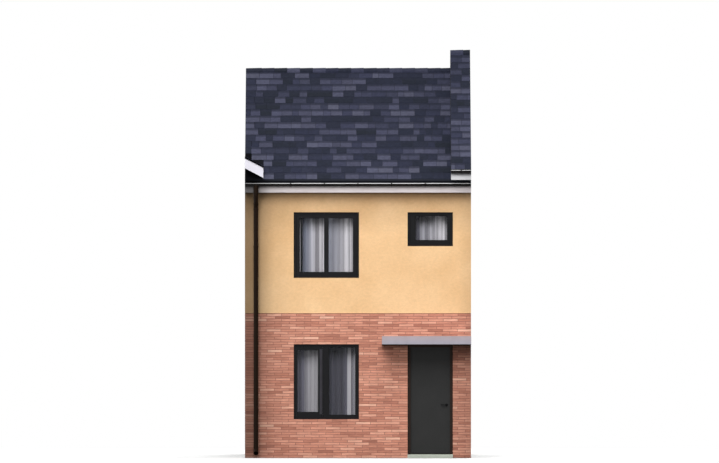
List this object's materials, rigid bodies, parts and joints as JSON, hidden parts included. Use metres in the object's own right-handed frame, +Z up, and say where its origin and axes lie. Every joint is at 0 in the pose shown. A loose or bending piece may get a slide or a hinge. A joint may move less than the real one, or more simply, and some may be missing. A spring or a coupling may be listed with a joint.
{
  "type": "mid-terrace house",
  "caption": "Two-storey mid-terrace house, brick below and rendered above, with a shingle roof, gutter, downpipe, canopy, framed windows and a hinged front door.",
  "frame": {"origin": "middle of the plan, on the underside of the ground floor slab and walls", "axes": "+X to the right along the front, -Y out of the front face, +Z up"},
  "size_m": [4.46, 8.36, 8.0639],
  "materials": {
    "brick": "matt fired brick",
    "render": "fine sand-float render",
    "party_wall": "plain blockwork",
    "concrete": "smooth concrete",
    "floor_timber": "boarded",
    "plaster": "matt",
    "shingle": "mineral shingles",
    "white_board": "satin white",
    "gutter_metal": "satin black",
    "pipe_metal": "satin black",
    "frame_metal": "powder-coated anthracite",
    "window_glass": "clear",
    "door_paint": "satin anthracite",
    "handle_metal": "dark satin",
    "hinge_metal": "satin",
    "canopy": "smooth grey",
    "curtain": "pleated voile",
    "track_metal": "white"
  },
  "bodies": {
    "house": {"ground_floor_slab": "concrete", "front_brick_wall": "brick", "front_brick_pier": "brick", "front_brick_over_door": "brick", "front_render_wall": "render", "rear_brick_wall": "brick", "rear_render_wall": "render", "left_party_wall": "party_wall", "right_party_wall": "party_wall", "first_floor": "floor_timber", "upper_ceiling": "plaster", "front_roof_slope": "shingle", "rear_roof_slope": "shingle", "ridge_caps": "shingle", "raised_verge_roof": "shingle", "raised_verge_boards": "white_board", "raised_verge_gutters": "gutter_metal", "left_verge_return": "shingle", "left_bargeboard": "white_board", "fascias": "white_board", "soffits": "white_board", "front_gutter": "gutter_metal", "rear_gutter": "gutter_metal", "front_downpipe": "pipe_metal", "rear_downpipe": "pipe_metal", "ground_window_frame": "frame_metal", "ground_window_sash": "frame_metal", "ground_window_glass": "window_glass", "upper_window_frames": "frame_metal", "upper_window_glass": "window_glass", "rear_window_frames": "frame_metal", "rear_window_glass": "window_glass", "front_door_frame": "frame_metal", "front_door_hinges": "hinge_metal", "door_steps": "concrete", "door_canopy": "canopy", "rear_door_frame": "frame_metal", "rear_door_leaf": "door_paint", "curtain_tracks": "track_metal", "ground_curtains": "curtain", "upper_curtains": "curtain", "rear_curtains": "curtain"},
    "front_door": {"front_door_leaf": "door_paint", "front_door_roses": "handle_metal", "front_door_hinge_plates": "hinge_metal"},
    "front_door_handle": {"front_door_lever": "handle_metal"}
  },
  "joints": [
    {"name": "front_door_swing", "type": "hinge", "parent": "house", "child": "front_door", "pos_m": [1.0245, -3.3655, 1.1], "axis": [0, 0, 1], "range_deg": [0, 90]},
    {"name": "front_door_lever_turn", "type": "hinge", "parent": "front_door", "child": "front_door_handle", "pos_m": [1.747, -3.395, 1.045], "axis": [0, -1, 0], "range_deg": [0, 45], "stiffness_Nm_per_rad": 1.5, "springref_deg": -20.05}
  ]
}
